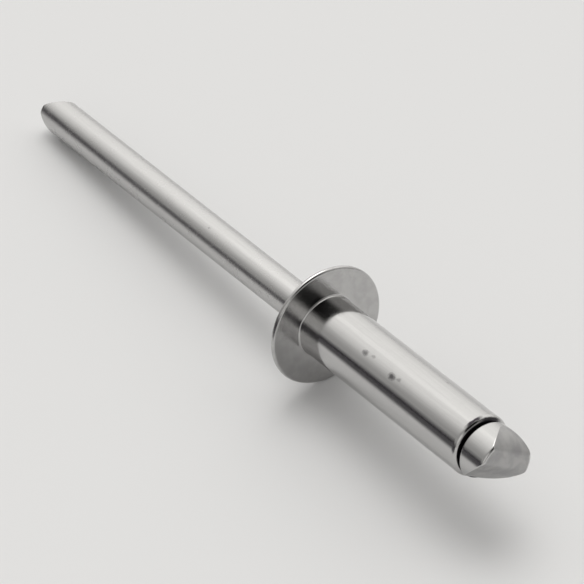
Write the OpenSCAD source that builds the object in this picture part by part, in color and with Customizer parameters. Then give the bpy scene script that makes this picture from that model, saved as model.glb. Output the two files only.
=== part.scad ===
// Open-end blind rivet with a domed flange, unset and lying on a flat surface.
// The tail of the pulling stem points to -X. The stem is the longer and heavier side,
// so the rivet rests on the rim of its flange and on the tail, with its head up.
// Both pieces are turned shapes drawn along X, with the seat of the flange at X = 0,
// and are then laid down together. Lengths are in millimetres.

/* [Sleeve] */
// Outer diameter of the sleeve
sleeve_d = 4.8; // [4:0.05:5.6]
// Length of the sleeve under the flange
sleeve_l = 18.5; // [10:0.5:30]
// Radius of the rounded lip at the free end of the sleeve
sleeve_lip_r = 0.38; // [0.1:0.02:0.6]

/* [Flange] */
// Outer diameter of the flange
flange_d = 9.4; // [8:0.1:12]
// Height of the dome above the seat, measured on the axis
dome_h = 1.22; // [0.9:0.02:2]
// Thickness of the rounded rim
rim_t = 0.4; // [0.2:0.02:0.6]
// Radius of the rounded mouth of the bore in the dome
mouth_r = 0.42; // [0.1:0.02:0.6]

/* [Stem] */
// Diameter of the pulling stem
stem_d = 2.8; // [2.2:0.02:3]
// Length of stem that stands out of the flange, from the seat to the tail
stem_l = 36; // [34:0.5:45]
// Clearance all round between the stem and the bore
bore_clear = 0.08; // [0.02:0.01:0.2]
// Depth of the break groove in the stem
groove_depth = 0.3; // [0.1:0.02:0.5]
// Width of the break groove
groove_w = 0.9; // [0.4:0.05:1.5]
// Distance from the free end of the sleeve back to the middle of the break groove
groove_back = 1.4; // [1:0.1:4]

/* [Stem head] */
// Diameter of the head that pulls into the sleeve
head_d = 4.48; // [3.8:0.02:5]
// Length of the side of the head, from its underside to its pinched edge
head_l = 2.36; // [2.3:0.02:4]
// Width of the gap that shows between the sleeve and the side of the head
head_stand = 0.42; // [0.2:0.02:0.8]
// Clearance between the cone under the head and the edge of the bore
head_clear = 0.02; // [0:0.01:0.1]
// Radius of the edge at the underside of the head
head_edge_r = 0.14; // [0.05:0.01:0.2]
// Radius of the corners at the ends of the pinched edge of the head
head_corner_r = 0.1; // [0.05:0.01:0.4]
// How far the upper side of the pinch cut reaches back from the end of the head
head_cut_l = 1.8; // [1:0.05:2.2]
// How far the lower side of the pinch cut reaches back, along the head and onto its edge
head_low_cut_l = 2.7; // [1:0.05:2.9]
// Thickness of the blunt edge that the cut leaves on the head
head_edge_w = 1.22; // [0.2:0.02:1.6]
// Height of the middle of the blunt edge over the axis, as the pinch wasn't centred
head_edge_rise = 0.47; // [0:0.01:0.6]
// How far each side of the cut on the head bulges from a straight line
head_bulge = 0.2; // [0.02:0.01:0.3]
// Turn of the pinched edge of the head about the axis, 0 is level
head_turn = -33; // [-45:1:45]

/* [Stem tail] */
// How far the pinch cut reaches back along the tail
tail_cut_l = 1.3; // [0.6:0.05:2]
// Width of the blunt edge that the cut leaves on the tail
tail_edge_w = 0.44; // [0.1:0.05:1]
// How far each side of the cut on the tail bulges from a straight line
tail_bulge = 0.05; // [0.02:0.01:0.2]
// Radius of the corners at the ends of the pinched edge of the tail
tail_corner_r = 0.16; // [0.05:0.01:0.3]
// Turn of the pinched edge of the tail about the axis, 0 is level
tail_turn = -35; // [-60:1:60]

/* [Hidden] */
$fn = 96;

sleeve_r = sleeve_d / 2;
flange_r = flange_d / 2;
rim_r = rim_t / 2;
stem_r = stem_d / 2;
bore_r = stem_r + bore_clear;
head_r = head_d / 2;
head_x = sleeve_l + head_stand;
head_end_x = head_x + head_l;

// The dome is one arc that runs tangent into the rounded rim.
rim_centre_r = flange_r - rim_r;
dome_r = (pow(rim_centre_r, 2) + pow(dome_h - rim_r, 2) - pow(rim_r, 2)) / (2 * (dome_h - rim_t));
dome_centre = dome_h - dome_r;
// Height of the dome where the rounded mouth runs out into it.
mouth_h = dome_centre + sqrt(pow(dome_r, 2) - pow(bore_r + mouth_r, 2));

// The rivet lies on the rim of the flange and on the stem, where the lowest line of the
// stem's round side ends at the pinch cut. The tilt brings both to one level.
tail_round_l = tail_cut_l * (stem_r * cos(tail_turn) - tail_edge_w / 2) / (stem_r - tail_edge_w / 2);
rest_x = tail_round_l - stem_l;
rest_rise = rim_centre_r - stem_r;
rest_run = -rest_x - rim_r;
lie_tilt = atan2(rest_rise, rest_run) + asin(rim_r / norm([rest_rise, rest_run]));
lie_height = stem_r * cos(lie_tilt) - rest_x * sin(lie_tilt);
// The middle of the laid rivet's length goes over the origin.
lie_shift = (stem_l - head_end_x) / 2 * cos(lie_tilt);

slack = 0.5;

// What lies outside a rounded corner of radius r, in the quadrant of +X and +Y.
module outside_corner(r) {
    difference() {
        square(r + slack);
        circle(r);
    }
}

// What lies outside the rounded edge of radius r where the head's side meets the cone
// under it. The cone's slope is its run along the axis over its run outwards.
module outside_head_edge(r, slope) {
    length = norm([1, slope]);
    normal = [slope, -1] / length;
    centre = [head_r - r, head_x + r * (length - slope)];
    translate(centre) difference() {
        scale(1 + slack / r) polygon([[0, 0], [r, 0], [r, r * (slope - length)], r * normal]);
        circle(r);
    }
}

// Half section of the sleeve and flange: X is the radius and Y runs along the axis,
// with the dome at -Y and the sleeve at +Y.
module body_section() {
    difference() {
        union() {
            intersection() {
                translate([0, -dome_centre]) circle(dome_r, $fn = 360);
                translate([0, -dome_h]) square([rim_centre_r, dome_h]);
            }
            translate([rim_centre_r, -rim_r]) circle(rim_r);
            square([sleeve_r, sleeve_l]);
        }
        translate([0, -dome_h - slack]) square([bore_r, dome_h + sleeve_l + 2 * slack]);
        translate([sleeve_r - sleeve_lip_r, sleeve_l - sleeve_lip_r]) outside_corner(sleeve_lip_r);
        translate([bore_r + mouth_r, mouth_r - mouth_h]) rotate(180) outside_corner(mouth_r);
    }
}

// Half section of the stem and its head before the ends are pinched.
module mandrel_section() {
    cone_start = sleeve_l + head_clear;
    groove_x = sleeve_l - groove_back;
    difference() {
        union() {
            translate([0, -stem_l]) square([stem_r, stem_l + head_x]);
            polygon([
                [0, cone_start],
                [bore_r, cone_start],
                [head_r, head_x],
                [head_r, head_end_x],
                [0, head_end_x]
            ]);
        }
        polygon([
            [stem_r + slack, groove_x - groove_w / 2 - slack],
            [stem_r, groove_x - groove_w / 2],
            [stem_r - groove_depth, groove_x],
            [stem_r, groove_x + groove_w / 2],
            [stem_r + slack, groove_x + groove_w / 2]
        ]);
        outside_head_edge(head_edge_r, (head_x - cone_start) / (head_r - bore_r));
        translate([head_r - head_corner_r, head_end_x - head_corner_r]) outside_corner(head_corner_r);
        translate([stem_r - tail_corner_r, tail_corner_r - stem_l])
            rotate(-90) outside_corner(tail_corner_r);
    }
}

// One side of a pinch cut, as the metal that the blade pushed away. The end of the
// wire is at X = 0, the wire runs to +X and the blunt edge lies along Z, as high as edge.
module pinch_side(r, cut_l, edge, bulge) {
    rise = r - edge;
    chord = norm([cut_l, rise]);
    face_r = pow(chord, 2) / (8 * bulge) + bulge / 2;
    inward = (face_r - bulge) / chord;
    centre = [cut_l / 2 + rise * inward, (r + edge) / 2 - cut_l * inward];
    linear_extrude(2 * (r + slack), center = true) difference() {
        translate([-slack, 0]) square([cut_l + slack + bulge, r + slack]);
        translate(centre) circle(face_r, $fn = 360);
    }
}

// Both sides of a pinch cut, each with its own length. The middle of the blunt edge
// lies off the axis by edge_rise, towards the first side.
module pinch(r, cut_lengths, edge_w, edge_rise, bulge) {
    for (side = [0, 1]) mirror([0, side, 0])
        pinch_side(r, cut_lengths[side], edge_w / 2 + (1 - 2 * side) * edge_rise, bulge);
}

// Turns a half section about the X axis, starting from the top, so that both sides of
// the line that the rivet lies on are alike.
module turned() {
    rotate([180, -90, 0]) rotate_extrude() children();
}

// Lays a piece that was drawn along X on the surface.
module laid() {
    translate([lie_shift, 0, lie_height]) rotate([0, -lie_tilt, 0]) children();
}

module rivet_body() {
    color("silver") laid() turned() body_section();
}

module mandrel() {
    color("lightgray") laid() difference() {
        turned() mandrel_section();
        translate([head_end_x, 0, 0]) rotate([head_turn, 0, 0]) mirror([1, 0, 0]) rotate([90, 0, 0])
            pinch(head_r, [head_cut_l, head_low_cut_l], head_edge_w, head_edge_rise, head_bulge);
        translate([-stem_l, 0, 0]) rotate([tail_turn, 0, 0]) rotate([90, 0, 0])
            pinch(stem_r, [tail_cut_l, tail_cut_l], tail_edge_w, 0, tail_bulge);
    }
}

rivet_body();
mandrel();
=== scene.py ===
import math

import bmesh
import bpy
from mathutils import Matrix, Vector


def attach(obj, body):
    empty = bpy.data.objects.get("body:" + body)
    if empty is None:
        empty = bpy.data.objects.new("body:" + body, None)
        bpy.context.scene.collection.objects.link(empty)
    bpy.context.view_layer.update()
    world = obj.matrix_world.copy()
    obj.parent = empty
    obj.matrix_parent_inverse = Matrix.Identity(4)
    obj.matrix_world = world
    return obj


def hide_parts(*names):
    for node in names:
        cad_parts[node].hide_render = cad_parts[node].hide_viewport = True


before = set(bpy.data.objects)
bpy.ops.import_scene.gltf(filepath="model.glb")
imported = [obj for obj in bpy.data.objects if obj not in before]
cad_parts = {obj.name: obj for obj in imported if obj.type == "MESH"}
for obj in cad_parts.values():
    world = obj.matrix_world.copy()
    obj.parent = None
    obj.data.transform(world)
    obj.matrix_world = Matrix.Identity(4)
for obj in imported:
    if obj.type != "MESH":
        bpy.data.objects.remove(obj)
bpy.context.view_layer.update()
scene = bpy.context.scene
mm = 0.001

# how the rivet lies: its axis climbs towards +X, the seat of the flange is at x = 0 on that axis
lying = dict(tilt=5.42175, seatX=7.3271, seatZ=4.6988)
layMatrix = Matrix.Translation((lying["seatX"] * mm, 0, lying["seatZ"] * mm)) @ Matrix.Rotation(
    math.radians(-lying["tilt"]), 4, "Y")


# shader helpers

class Wire:  # one output socket, so that shader sums read as plain sums
    def __init__(self, graph, socket):
        self.graph, self.socket = graph, socket

    def isValue(self):
        return self.socket.type == "VALUE"

    def sum(self, how, a, b):
        if all(not isinstance(v, Wire) or v.isValue() for v in (a, b)):
            return self.graph.add("Math", dict(operation=how), {0: a, 1: b})
        if how == "MULTIPLY" and not (isinstance(a, Wire) and isinstance(b, Wire)
                                      and not a.isValue() and not b.isValue()):
            vector, scale = (a, b) if isinstance(a, Wire) and not a.isValue() else (b, a)
            if isinstance(scale, tuple):
                return self.graph.add("VectorMath", dict(operation=how), {0: vector, 1: scale})
            return self.graph.add("VectorMath", dict(operation="SCALE"), {0: vector, "Scale": scale})
        return self.graph.add("VectorMath", dict(operation=how), {0: a, 1: b})

    def __add__(self, other):
        return self.sum("ADD", self, other)

    def __radd__(self, other):
        return self.sum("ADD", other, self)

    def __sub__(self, other):
        return self.sum("SUBTRACT", self, other)

    def __rsub__(self, other):
        return self.sum("SUBTRACT", other, self)

    def __mul__(self, other):
        return self.sum("MULTIPLY", self, other)

    def __rmul__(self, other):
        return self.sum("MULTIPLY", other, self)

    def most(self, other):
        return self.graph.add("Math", dict(operation="MAXIMUM"), {0: self, 1: other})

    def dot(self, other):
        return self.graph.add("VectorMath", dict(operation="DOT_PRODUCT"), {0: self, 1: other}, "Value")

    def length(self):
        return self.graph.add("VectorMath", dict(operation="LENGTH"), {0: self}, "Value")

    def ramp(self, low, high, toLow=0.0, toHigh=1.0):  # smooth step from low to high
        sockets = {"Value": self, "From Min": low, "From Max": high, "To Min": toLow, "To Max": toHigh}
        return self.graph.add("MapRange", dict(interpolation_type="SMOOTHSTEP"), sockets)


class Graph:  # one node tree
    def __init__(self, owner):
        owner.use_nodes = True
        self.tree = owner.node_tree
        self.tree.nodes.clear()

    def add(self, kind, settings=None, sockets=None, out=0):
        node = self.tree.nodes.new("ShaderNode" + kind)
        for name, value in (settings or {}).items():
            setattr(node, name, value)
        for name, value in (sockets or {}).items():
            if isinstance(value, Wire):
                self.tree.links.new(value.socket, node.inputs[name])
            elif isinstance(value, tuple) and node.inputs[name].type == "RGBA" and len(value) == 3:
                node.inputs[name].default_value = value + (1,)
            else:
                node.inputs[name].default_value = value
        return Wire(self, node.outputs[out]) if len(node.outputs) else node

    def blend(self, a, b, factor):  # colours
        return self.add("Mix", dict(data_type="RGBA"), {0: factor, 6: a, 7: b}, 2)

    def noise(self, place, scale, detail=2.0, rough=0.5):
        sockets = {"Vector": place, "Scale": scale, "Detail": detail, "Roughness": rough}
        return self.add("TexNoise", {}, sockets)

    def bump(self, height, strength, distance):
        return self.add("Bump", {}, {"Height": height, "Strength": strength, "Distance": distance})

    def metal(self, colour, rough, normal):  # ends the material
        sockets = {"Base Color": colour, "Metallic": 1.0, "Roughness": rough, "Normal": normal}
        self.add("OutputMaterial", {}, {"Surface": self.add("BsdfPrincipled", {}, sockets)})


def ownPlace(g):  # the rivet's own coordinates in mm: x along its axis, the seat of the flange at 0
    place = g.add("TexCoord", {}, {}, "Object") * (1 / mm) - (lying["seatX"], 0.0, lying["seatZ"])
    turn = {"Vector": place, "Angle": math.radians(lying["tilt"])}
    return g.add("VectorRotate", dict(rotation_type="Y_AXIS"), turn)


def newMaterial(name):
    material = bpy.data.materials.new(name)
    return material, Graph(material)


# mesh helpers

def arc(centre, radius, start, end, steps):  # angles in degrees from +x towards +r
    points = []
    for i in range(steps + 1):
        angle = math.radians(start + (end - start) * i / steps)
        points.append((centre[0] + radius * math.cos(angle), centre[1] + radius * math.sin(angle)))
    return points


def held(points, closed, hold=0.03):  # extra rings by the ends of straight runs keep their shading flat
    result = []
    count = len(points)
    for i in range(count if closed else count - 1):
        a, b = points[i], points[(i + 1) % count]
        run = math.dist(a, b)
        if not result or math.dist(result[-1], a) > 1e-6:
            result.append(a)
        if run > 4 * hold:
            for f in (hold / run, 1 - hold / run):
                result.append((a[0] + (b[0] - a[0]) * f, a[1] + (b[1] - a[1]) * f))
    if not closed:
        result.append(points[-1])
    return result


def newPiece(name, verts, faces, marks, materials):  # verts are in the rivet's own mm, along x
    mesh = bpy.data.meshes.new(name)
    mesh.from_pydata([layMatrix @ (Vector(v) * mm) for v in verts], [], faces)
    for material in materials:
        mesh.materials.append(material)
    mesh.polygons.foreach_set("material_index", marks)
    mesh.polygons.foreach_set("use_smooth", [True] * len(faces))
    work = bmesh.new()
    work.from_mesh(mesh)
    bmesh.ops.recalc_face_normals(work, faces=work.faces)
    work.to_mesh(mesh)
    work.free()
    piece = bpy.data.objects.new(name, mesh)
    scene.collection.objects.link(piece)
    return piece


# materials

# the dark colour darkens the small dents, and is also painted shade in the hollow and a painted dark
# reflection on the sleeve's lip
steel = dict(light=(0.54, 0.535, 0.53), dull=(0.47, 0.465, 0.462), pitsAndShade=(0.036, 0.032, 0.038),
             pitsAndShadeRoughness=0.3, lineDepth=0.0000012, dentDepth=10, unevenDepth=9)

# places are in the rivet's own mm. The painted shade hollow is painted shade in the recess between the
# sleeve's end and the head, from x to x, out to a radius. The lip starts between its two values of x, and the
# flange between its two radii. A spot is a
# small dent, darkened: place, radius, strength. A smear is a painted dark band that runs round: painted shade
# in the hollow, and on the sleeve's lip a painted dark reflection. From x to x, its middle across the axis,
# reach, strength
sleeveFinish = dict(lineScale=7, roughness=0.10, wornRoughness=0.05,
                    paintedShadeHollow=(18.4, 19.0, 2.12), lip=(18.02, 18.27), flange=(2.6, 2.9),
                    spots=[((6.70, -1.32, 2.00), 0.24, 0.62), ((7.50, -1.20, 2.08), 0.14, 0.30),
                           ((10.05, -1.45, 1.91), 0.27, 0.80), ((10.75, -1.36, 1.98), 0.16, 0.38),
                           ((3.1, 2.1, -1.1), 0.18, 0.5), ((13.4, 0.9, 2.2), 0.10, 0.3),
                           ((12.2, 1.6, -1.8), 0.15, 0.5)],
                    paintedDarkBands=[(18.13, 18.34, (-0.40, 2.33), 0.95, 1.0), (18.36, 18.6, (0.9, 2.0), 1.3, 0.95)])
wireFinish = dict(lineScale=9, roughness=0.23, wornRoughness=0.06, headRoughness=0.11, head=(18.2, 18.6),
                  paintedShadeHollow=(17.5, 19.0, 2.2), spots=[((-14.0, -0.6, 1.25), 0.10, 0.25)],
                  paintedDarkBands=[(18.7, 18.99, (0.9, 2.0), 1.7, 0.97)])


def drawnSteel(name, finish):
    # fine lines run along the piece, as the wire and the tube were drawn
    material, g = newMaterial(name)
    place = ownPlace(g)
    x = g.add("SeparateXYZ", {}, {0: place})
    radius = (place * (0, 1, 1)).length()
    along = place * (0.03, 1, 1)
    lines = g.noise(along, finish["lineScale"], 3, 0.6)
    broad = g.noise(along, finish["lineScale"] * 0.22, 2, 0.5)
    wear = g.noise(place, 0.9, 4, 0.6).ramp(0.45, 0.75)
    uneven = (lines * 0.5 + broad * 0.5).ramp(0.35, 0.7)
    colour = g.blend(steel["light"], steel["dull"], uneven * 0.5 + wear * 0.2)
    rough = finish["roughness"] + lines * 0.03 + wear * finish["wornRoughness"]
    if "head" in finish:  # the head was pressed to shape, so it is smoother than the drawn wire
        rough = rough + x.ramp(*finish["head"]) * (finish["headRoughness"] - finish["roughness"])
    # painted shade: darker in the hollow between the sleeve's end and the head
    low, high, inside = finish["paintedShadeHollow"]
    between = x.ramp(low - 0.04, low + 0.02) * x.ramp(high + 0.02, high - 0.04)
    paintedShadeAndDents = between * radius.ramp(inside + 0.06, inside - 0.04)
    height = lines * 0.6 + broad * 0.8
    if "lip" in finish:  # the rounded end of the sleeve is a little rough
        height = height + g.noise(place, 4.5, 3, 0.6) * x.ramp(*finish["lip"]) * steel["unevenDepth"]
    if "flange" in finish:  # the pressed flange is duller and softly mottled
        onFlange = radius.ramp(*finish["flange"])
        mottle = g.noise(place, 1.3, 4, 0.6).ramp(0.35, 0.65)
        colour = g.blend(colour, steel["dull"], onFlange * mottle)
        rough = rough + onFlange * 0.06
        height = height + g.noise(place, 2.2, 4, 0.6) * onFlange * steel["unevenDepth"]
    dents = 0.0
    waver = g.noise(place, 5.0, 3, 0.65) * 0.3 - 0.15  # makes the edges of marks uneven
    for spot, size, strength in finish["spots"]:
        away = ((place - spot) * (0.7, 1, 1)).length() + waver
        dents = away.ramp(size * 1.3, size * 0.3, 0.0, strength) + dents
    paintedShadeAndDents = paintedShadeAndDents.most(dents)
    # painted dark bands that run round: painted shade in the hollow, and a painted dark reflection on the
    # sleeve's lip
    for start, end, middle, reach, strength in finish["paintedDarkBands"]:
        edge = x + waver * 0.5
        band = edge.ramp(start - 0.05, start + 0.05) * edge.ramp(end + 0.04, end - 0.04)
        away = ((place - (0.0, *middle)) * (0, 1, 1)).length() + waver
        paintedShadeAndDents = paintedShadeAndDents.most(band * away.ramp(reach, reach * 0.35, 0.0, strength))
    # the dents darkened, together with painted shade and a painted dark reflection round the sleeve's end and
    # the head
    colour = g.blend(colour, steel["pitsAndShade"], paintedShadeAndDents)
    rough = rough + paintedShadeAndDents * steel["pitsAndShadeRoughness"]
    normal = g.bump(height - dents * steel["dentDepth"], 0.5, steel["lineDepth"])
    g.metal(colour, rough, normal)
    return material


cutFinish = dict(bright=(0.47, 0.465, 0.46), dark=(0.36, 0.355, 0.36), roughness=0.38, depth=0.00001)


def cutSteel():
    # the faces that the pinching tool left: duller, with soft swirls
    material, g = newMaterial("pinchCutSteel")
    place = ownPlace(g)
    drift = g.noise(place, 0.8, 2, 0.5)
    swirl = g.noise(place * (0.5, 1, 1) + drift * 1.5, 1.1, 3, 0.5)
    grain = g.noise(place, 11, 3, 0.6)
    colour = g.blend(cutFinish["bright"], cutFinish["dark"], swirl.ramp(0.3, 0.7) * 0.8 + grain * 0.2)
    rough = cutFinish["roughness"] + swirl * 0.1
    normal = g.bump(swirl + grain * 0.3, 0.6, cutFinish["depth"])
    g.metal(colour, rough, normal)
    return material


sleeveSteel = drawnSteel("bodySteel", sleeveFinish)
stemSteel = drawnSteel("stemSteel", wireFinish)
pinchSteel = cutSteel()

# sleeve and flange

body = dict(sleeveRadius=2.4, sleeveLength=18.5, lipRadius=0.38, boreRadius=1.48, mouthRadius=0.42,
            mouthHeight=1.0799, domeRadius=12.958, domeCentre=11.738, rimCentre=4.498, rimRadius=0.2,
            rootRadius=0.14, sides=160)


def bodyProfile():  # (x along the axis, radius), closed, the dome is at -x
    b = body
    # where the dome meets the rim, and where it meets the rounded mouth
    rimTurn = math.degrees(math.atan2(b["rimCentre"], -b["domeCentre"] - b["rimRadius"]))
    mouthX, mouthR = b["mouthRadius"] - b["mouthHeight"], b["boreRadius"] + b["mouthRadius"]
    mouthTurn = 180 - math.degrees(math.asin(mouthR / b["domeRadius"]))
    points = arc((mouthX, mouthR), b["mouthRadius"], 270, 180, 10)
    points += arc((b["domeCentre"], 0), b["domeRadius"], mouthTurn, rimTurn, 18)[1:]
    points += arc((-b["rimRadius"], b["rimCentre"]), b["rimRadius"], rimTurn, 0, 12)[1:]
    points += arc((b["rootRadius"], b["sleeveRadius"] + b["rootRadius"]), b["rootRadius"], 180, 270, 6)
    lipCentre = (b["sleeveLength"] - b["lipRadius"], b["sleeveRadius"] - b["lipRadius"])
    points += arc(lipCentre, b["lipRadius"], 90, 0, 12)
    points += [(b["sleeveLength"], b["boreRadius"])]
    return held(points, True)


def lathe(points, sides):
    verts, faces = [], []
    for x, r in points:
        for k in range(sides):
            angle = 2 * math.pi * k / sides
            verts.append((x, r * math.cos(angle), r * math.sin(angle)))
    rings = len(points)
    for i in range(rings):
        for k in range(sides):
            a, b = i * sides, (i + 1) % rings * sides
            n = (k + 1) % sides
            faces.append((a + k, a + n, b + n, b + k))
    return verts, faces


verts, faces = lathe(bodyProfile(), body["sides"])
sleevePiece = newPiece("sleeveAndFlange", verts, faces, [0] * len(faces), [sleeveSteel])
print("sleeve and flange:", len(faces), "faces")

# stem with its head and tail

# a pinch cut has two flanks, each with the length that it takes off the wire and the height over the axis at
# which it ends, so that a blunt edge is left between them
stem = dict(radius=1.4, length=36.0, boreRadius=1.48, coneStart=18.52, coneClear=0.005,
            grooveX=17.1, grooveHalf=0.45, grooveDepth=0.3)
head = dict(radius=2.24, start=18.92, end=21.28, edge=0.14, corner=0.24, soft=0.12,
            cuts=(1.8, 2.7), blunts=(1.08, 0.14), bulge=0.2, turn=-33)
tail = dict(radius=1.4, corner=0.16, soft=0.05, cuts=(1.3, 1.3), blunts=(0.22, 0.22), bulge=0.05, turn=-35)
flatSteps, roundSteps, sideSteps = 24, 4, 48
uncut = 9.0  # a height over the axis that no ring reaches


def flankHeight(end, side, u):
    # height of a flank over the axis, at a distance u back from the tip: an arc that bulges outwards
    cut, blunt = end["cuts"][side], end["blunts"][side]
    if u >= cut:
        return uncut
    rise = end["radius"] - blunt
    chord = math.hypot(cut, rise)
    big = chord ** 2 / (8 * end["bulge"]) + end["bulge"] / 2
    inward = (big - end["bulge"]) / chord
    centreU, centreH = cut / 2 + rise * inward, (end["radius"] + blunt) / 2 - cut * inward
    return centreH + math.sqrt(max(big ** 2 - (u - centreU) ** 2, 0))


def halfSection(radius, height, soft):
    # outline of a disc above the axis, cut off flat at that height, from +t to -t
    height = min(height, radius * 0.9995)
    rho = min(soft, max((radius - height) * 0.8, 0.002), height * 0.5)
    wide = math.sqrt(max((radius - rho) ** 2 - (height - rho) ** 2, 0))
    lean = math.atan2(height - rho, wide)  # where the rounding runs out into the round side
    points = [(radius * math.cos(lean * 2 * i / sideSteps), radius * math.sin(lean * 2 * i / sideSteps))
              for i in range(sideSteps // 2)]
    for i in range(roundSteps):
        angle = lean + (math.pi / 2 - lean) * i / roundSteps
        points.append((wide + rho * math.cos(angle), height - rho + rho * math.sin(angle)))
    points += [(wide * (1 - i * 2 / flatSteps), height) for i in range(flatSteps // 2)]
    return points + [(0, height)] + [(-t, h) for t, h in reversed(points)]


def section(radius, top, low, soft):  # the whole outline, without its last point, which is its first
    upper, lower = halfSection(radius, top, soft), halfSection(radius, low, soft)
    return upper[:-1] + [(-t, -h) for t, h in lower[:-1]]


def placed(outline, x, turn):  # the blunt edge lies along y before the turn
    c, s = math.cos(math.radians(turn)), math.sin(math.radians(turn))
    return [(x, t * c - h * s, t * s + h * c) for t, h in outline]


def pinchedRings(end, tip, way, steps, sideRadius):
    # rings from the tip back along the wire, each cut off by the two flanks
    rings = []
    for u in steps:
        r, dip = sideRadius(u), 0.0
        if u < end["corner"]:
            r = end["radius"] - end["corner"] + math.sqrt(end["corner"] ** 2 - (end["corner"] - u) ** 2)
        if u < end["soft"]:  # the blunt edge is rounded over
            dip = end["soft"] - math.sqrt(end["soft"] ** 2 - (end["soft"] - u) ** 2)
        top, low = (flankHeight(end, side, u) - dip for side in (0, 1))
        rings.append(placed(section(r, top, low, end["soft"]), tip - way * u, end["turn"]))
    return rings


def ringSteps(end, last):  # close together at the rounded tip, and where the upper flank runs out
    steps = [0, 0.004, 0.012, 0.025, 0.045, 0.07, 0.1, 0.14, 0.19, 0.25]
    steps += [0.32 + (last - 0.32) * k / 34 for k in range(35)]
    steps += [end["cuts"][0] - 0.01, end["cuts"][0] + 0.001]
    return sorted(steps)


def stemRings():  # all rings from the tail to the head, and how many of them are on the tail and on the head
    p = stem
    tailSteps = ringSteps(tail, tail["cuts"][0] + 0.02)
    rings = pinchedRings(tail, -p["length"], -1, tailSteps, lambda u: tail["radius"])
    tailCount = len(rings)
    # the head's rounded underside edge and the top of the cone under it
    slope = (head["start"] - p["coneStart"]) / (head["radius"] - p["boreRadius"])
    span = math.hypot(1, slope)
    edgeCentre = (head["start"] + head["edge"] * (span - slope), head["radius"] - head["edge"])
    leave = math.degrees(math.atan2(slope, -1))  # direction of the cone's outward normal, from +x towards +r
    edgeStart = edgeCentre[0] + head["edge"] * math.cos(math.radians(leave))

    def headSide(u):
        x = head["end"] - u
        if x >= edgeCentre[0]:
            return head["radius"]
        return edgeCentre[1] + math.sqrt(max(head["edge"] ** 2 - (x - edgeCentre[0]) ** 2, 0))

    edgeSteps = [head["end"] - edgeCentre[0] - head["edge"] * math.cos(math.radians(a))
                 for a in (leave, leave - 8, leave - 18, leave - 28, leave - 38, leave - 48)]
    headSteps = ringSteps(head, head["end"] - edgeCentre[0]) + edgeSteps
    coneEnd = edgeStart - p["coneClear"]
    coneRadius = p["boreRadius"] + (coneEnd - p["coneStart"]) / slope
    middle = [(-p["length"] + tail["cuts"][0] + 0.04, p["radius"]),
              (p["grooveX"] - p["grooveHalf"], p["radius"]), (p["grooveX"], p["radius"] - p["grooveDepth"]),
              (p["grooveX"] + p["grooveHalf"], p["radius"]),
              (p["coneStart"] - 0.02, p["radius"]), (p["coneStart"], p["boreRadius"]), (coneEnd, coneRadius)]
    for x, r in held(middle, False, 0.02):
        share = (x + p["length"]) / (head["end"] + p["length"])
        turn = tail["turn"] + (head["turn"] - tail["turn"]) * share
        rings.append(placed(section(r, uncut, uncut, 0.01), x, turn))
    headRings = pinchedRings(head, head["end"], 1, sorted(headSteps), headSide)
    return rings + headRings[::-1], tailCount, len(headRings)


def stemPiece():
    rings, tailCount, headCount = stemRings()
    count = len(rings[0])
    half = count // 2
    verts = [v for ring in rings for v in ring]
    faces, marks = [], []
    sideCount = sideSteps // 2 + roundSteps
    flats = set(range(sideCount, half - sideCount)) | set(range(half + sideCount, count - sideCount))
    for i in range(len(rings) - 1):
        pinched = i < tailCount - 1 or i >= len(rings) - headCount
        for k in range(count):
            a, b, n = i * count, (i + 1) * count, (k + 1) % count
            faces.append((a + k, a + n, b + n, b + k))
            marks.append(1 if pinched and k in flats else 0)
    for base in (0, (len(rings) - 1) * count):  # the blunt edges, filled across
        for k in range(half):
            loop = [base + k, base + k + 1, base + (count - k - 1) % count, base + (count - k) % count]
            faces.append([v for j, v in enumerate(loop) if v not in loop[:j]])
            marks.append(1)
    return newPiece("stemAndHead", verts, faces, marks, [stemSteel, pinchSteel])


wirePiece = stemPiece()
print("stem:", len(wirePiece.data.polygons), "faces")

for piece, node, slotName in ((sleevePiece, "rivet_body", "body_steel"),
                              (wirePiece, "mandrel", "stem_steel")):
    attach(piece, "root")
    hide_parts(node)

# floor, light and camera

studio = dict(floorSize=1.6, floorColour=(0.76, 0.76, 0.765))


def makeFloor():
    s = studio["floorSize"] / 2
    mesh = bpy.data.meshes.new("floor")
    mesh.from_pydata([(-s, -s, 0), (s, -s, 0), (s, s, 0), (-s, s, 0)], [], [(0, 1, 2, 3)])
    floor = bpy.data.objects.new("floor", mesh)
    scene.collection.objects.link(floor)
    material, g = newMaterial("paperFloor")
    g.add("OutputMaterial", {}, {"Surface": g.add("BsdfDiffuse", {}, {"Color": studio["floorColour"]})})
    mesh.materials.append(material)


def direction(azimuth, elevation):
    a, e = math.radians(azimuth), math.radians(elevation)
    return (math.cos(a) * math.cos(e), math.sin(a) * math.cos(e), math.sin(e))


# the room as soft patches: azimuth from +X towards +Y, elevation, inner and outer radius in degrees, level
sky = dict(colour=(1.0, 0.99, 0.965), base=0.46,
           window=(138, 52, 4, 75, 0.86), lamp=(150, 68, 5, 26, 2.4), glint=(168, 47, 2, 10, 0.15),
           sideLamp=(317, 25, 4, 26, 0.42), darkCorner=(3, 51, 14, 38, 0.99))


def makeSky():
    world = bpy.data.worlds.new("studio")
    scene.world = world
    g = Graph(world)
    ray = g.add("TexCoord", {}, {}, "Generated")

    def patch(name):  # 1 inside the patch, falling softly to 0
        azimuth, elevation, inner, outer, level = sky[name]
        return ray.dot(direction(azimuth, elevation)).ramp(
            math.cos(math.radians(outer)), math.cos(math.radians(inner)), 0.0, level)

    level = (patch("window") + patch("lamp") + patch("glint") + sky["base"]) * (1 - patch("darkCorner"))
    light = g.add("Background", {}, {"Color": sky["colour"], "Strength": level + patch("sideLamp")})
    g.add("OutputWorld", {}, {"Surface": light})


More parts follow.
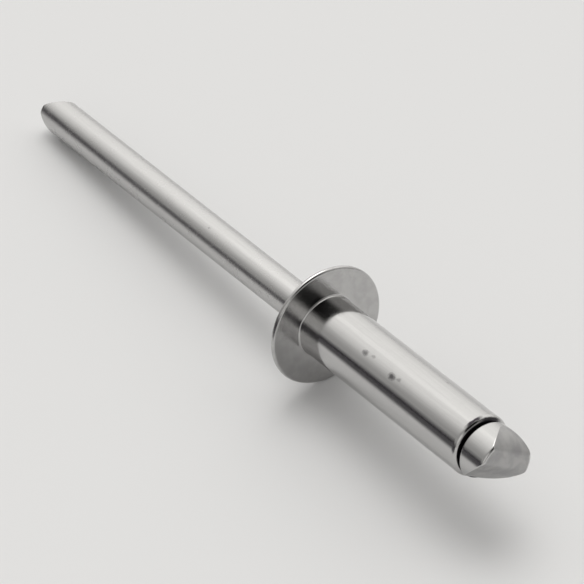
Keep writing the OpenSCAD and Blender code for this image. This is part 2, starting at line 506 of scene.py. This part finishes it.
# a dark card along the near left side, seen only as the dark band that it leaves in the metal. Its lower edge
# and its upper edge as (x, y, z), and it fades out towards both
card = dict(edges=[((36, -20, 0.3), (36, -20, 14.0)), ((12, -16.5, 0.3), (12, -16.5, 13.0)),
                   ((5, -16, 0.4), (5, -16, 12.5)), ((1.5, -15.5, 0.3), (1.5, -16, 12.0)),
                   ((-2, -14.5, 0.3), (-2, -16, 11.2)), ((-5, -13.5, 0.3), (-5, -16, 10.6)),
                   ((-11, -9, 0.3), (-12, -15, 8.0)), ((-24, -6.5, 0.3), (-27, -13.5, 6.8)),
                   ((-33, -5.5, 0.3), (-37, -12, 7.5)), ((-40, -3, 0.6), (-46, -8, 10.0))],
            rows=(0.0, 0.27, 0.64, 1.0), darkness=(0.0, 0.86, 0.93, 0.0), colour=(0.033, 0.028, 0.038))


def makeCard():
    verts, faces, fade = [], [], []
    for low, high in card["edges"]:
        for share, dark in zip(card["rows"], card["darkness"]):
            verts.append([(a + (b - a) * share) * mm for a, b in zip(low, high)])
            fade.append(dark)
    rows = len(card["rows"])
    for i in range(len(card["edges"]) - 1):
        for j in range(rows - 1):
            a = i * rows + j
            faces.append((a, a + rows, a + rows + 1, a + 1))
    mesh = bpy.data.meshes.new("darkCard")
    mesh.from_pydata(verts, [], faces)
    mesh.attributes.new("darkness", "FLOAT", "POINT").data.foreach_set("value", fade)
    strip = bpy.data.objects.new("darkCard", mesh)
    scene.collection.objects.link(strip)
    material, g = newMaterial("blackCard")
    dark = g.add("Attribute", dict(attribute_name="darkness"), {}, "Fac")
    paper = g.add("BsdfDiffuse", {}, {"Color": card["colour"]})
    clear = g.add("BsdfTransparent", {}, {"Color": (1, 1, 1)})
    g.add("OutputMaterial", {}, {"Surface": g.add("MixShader", {}, {0: dark, 1: clear, 2: paper})})
    mesh.materials.append(material)
    strip.visible_camera = False
    strip.visible_diffuse = False
    strip.visible_shadow = False


view = dict(azimuth=54.87, elevation=39.91, distance=369.1, aim=(4.619, -1.158, 6.554), lens=318.1)


def makeCamera():
    a, e = math.radians(view["azimuth"]), math.radians(view["elevation"])
    back = Vector((math.sin(a) * math.cos(e), -math.cos(a) * math.cos(e), math.sin(e)))
    right = Vector((math.cos(a), math.sin(a), 0))
    up = back.cross(right)
    aim = Vector(view["aim"])
    data = bpy.data.cameras.new("camera")
    data.lens = view["lens"]
    data.sensor_width = 36
    data.clip_start = 0.01
    camera = bpy.data.objects.new("camera", data)
    camera.matrix_world = Matrix.Translation((aim + back * view["distance"]) * mm) @ Matrix(
        (right, up, back)).transposed().to_4x4()
    scene.collection.objects.link(camera)
    scene.camera = camera


makeFloor()
makeSky()
makeCard()
makeCamera()
scene.view_settings.view_transform = "Standard"
print("floor, sky and camera are in place")
